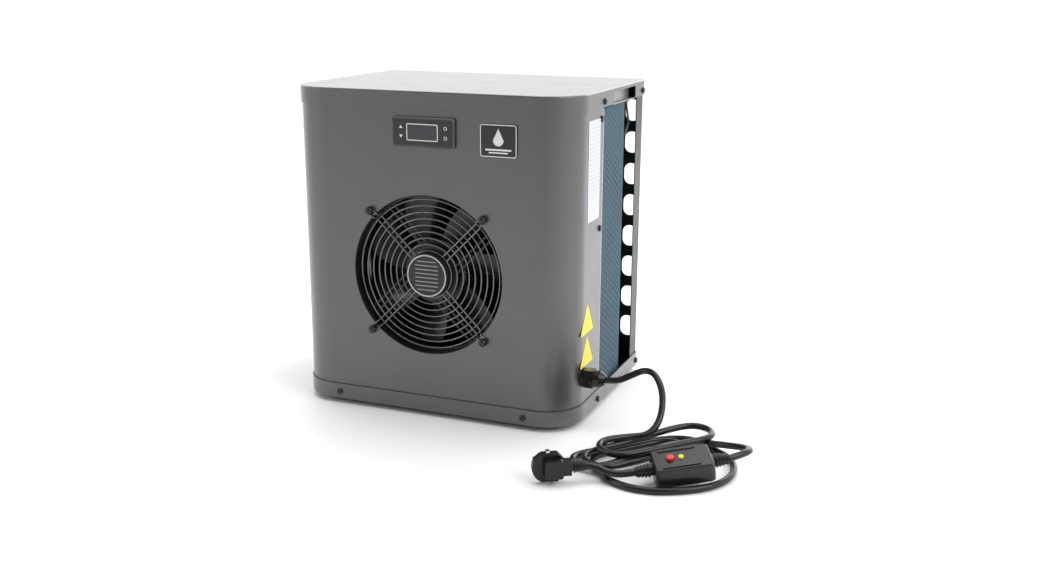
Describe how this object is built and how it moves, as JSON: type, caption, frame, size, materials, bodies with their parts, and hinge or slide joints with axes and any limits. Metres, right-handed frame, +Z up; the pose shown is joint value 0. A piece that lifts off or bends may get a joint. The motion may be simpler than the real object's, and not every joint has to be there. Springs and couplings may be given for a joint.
{
  "type": "pool heat pump",
  "caption": "Compact box-shaped pool heat pump with a front axial fan behind a wire guard, an L-shaped coil, side water unions and a mains lead with an in-line residual-current device.",
  "frame": {"origin": "on the floor, under the middle of the cabinet, which is the centre of the four screw holes of the feet", "axes": "+X towards the coil and cable side, -X towards the water unions, +Y to the rear, +Z up; the fan faces -Y"},
  "size_m": [0.599, 0.3907, 0.368],
  "materials": {
    "cabinet_paint": "satin dark grey powder coat",
    "plated_steel": "light grey coated sheet",
    "rear_paint": "dark grey coated sheet",
    "guard_wire": "satin coated wire",
    "black_fastener": "glossy black",
    "motor_black": "satin black",
    "bright_steel": "ground steel",
    "motor_sticker": "black printed foil",
    "blade_plastic": "dark grey moulded plastic",
    "fin_blue": "blue hydrophilic coating",
    "copper": "drawn copper",
    "compressor_black": "semi-gloss black",
    "rubber_black": "matt rubber",
    "tank_plastic": "moulded plastic",
    "union_plastic": "moulded plastic",
    "board_green": "circuit board",
    "capacitor_can": "drawn can",
    "sensor_grey": "grey insulated wire",
    "controller_black": "glossy black with a silver edge",
    "display_smoke": "smoked window",
    "badge_black": "glossy plate with a silver border",
    "emblem_silver": "bright foil",
    "label_white": "white printed label",
    "label_yellow": "plain yellow triangles",
    "gland_nylon": "black nylon",
    "rcd_case": "dark grey moulded case",
    "button_red": "red",
    "button_yellow": "yellow",
    "plug_rubber": "moulded rubber",
    "plug_contact": "nickel-plated brass",
    "lead_sheath": "black rubber sheath"
  },
  "bodies": {
    "cabinet": {"lid": "cabinet_paint", "base_pan": "cabinet_paint", "outer_shell": "cabinet_paint", "handle_plates": "plated_steel", "coil_end_plates": "plated_steel", "electrical_box": "plated_steel", "electrical_cover": "plated_steel", "fan_shroud": "plated_steel", "rear_panel": "rear_paint", "fan_guard": "guard_wire", "motor_bracket": "guard_wire", "guard_fasteners": "black_fastener", "cabinet_screws": "black_fastener", "motor_stator": "motor_black", "motor_bearings": "bright_steel", "motor_label": "motor_sticker", "coil_fins": "fin_blue", "coil_hairpins": "copper", "discharge_pipe": "copper", "suction_pipe": "copper", "liquid_pipe": "copper", "filter_drier": "copper", "capillary_tube": "copper", "compressor": "compressor_black", "accumulator": "compressor_black", "rubber_feet": "rubber_black", "compressor_grommets": "rubber_black", "heat_exchanger": "tank_plastic", "water_ports": "tank_plastic", "hose_tails": "union_plastic", "union_nuts": "union_plastic", "control_board": "board_green", "run_capacitor": "capacitor_can", "sensor_lead": "sensor_grey", "controller_bezel": "controller_black", "controller_face": "controller_black", "display_window": "display_smoke", "badge_plate": "badge_black", "badge_emblem": "emblem_silver", "rating_label": "label_white", "caution_labels": "label_yellow", "gland_washer": "gland_nylon", "gland_body": "gland_nylon", "gland_nut": "gland_nylon", "gland_locknut": "gland_nylon", "rcd_base": "rcd_case", "rcd_cover": "rcd_case", "rcd_strain_reliefs": "rcd_case", "plug_body": "plug_rubber", "plug_contacts": "plug_contact", "lead_hank": "lead_sheath", "lead_riser": "lead_sheath", "lead_floor_loop": "lead_sheath", "lead_tail": "lead_sheath", "plug_lead": "lead_sheath"},
    "fan_rotor": {"motor_shaft": "bright_steel", "motor_rotor": "motor_black", "fan_impeller": "blade_plastic"},
    "reset_key": {"reset_button": "button_red"},
    "test_key": {"test_button": "button_yellow"}
  },
  "joints": [
    {"name": "fan_spin", "type": "hinge", "parent": "cabinet", "child": "fan_rotor", "pos_m": [0, -0.0865, 0.1653], "axis": [0, 1, 0], "continuous": true},
    {"name": "reset_press", "type": "slide", "parent": "cabinet", "child": "reset_key", "axis": [0.0037, 0.2543, -0.9671], "range_m": [0, 0.002], "stiffness_N_per_m": 400},
    {"name": "test_press", "type": "slide", "parent": "cabinet", "child": "test_key", "axis": [0.0037, 0.2543, -0.9671], "range_m": [0, 0.0015], "stiffness_N_per_m": 400}
  ]
}
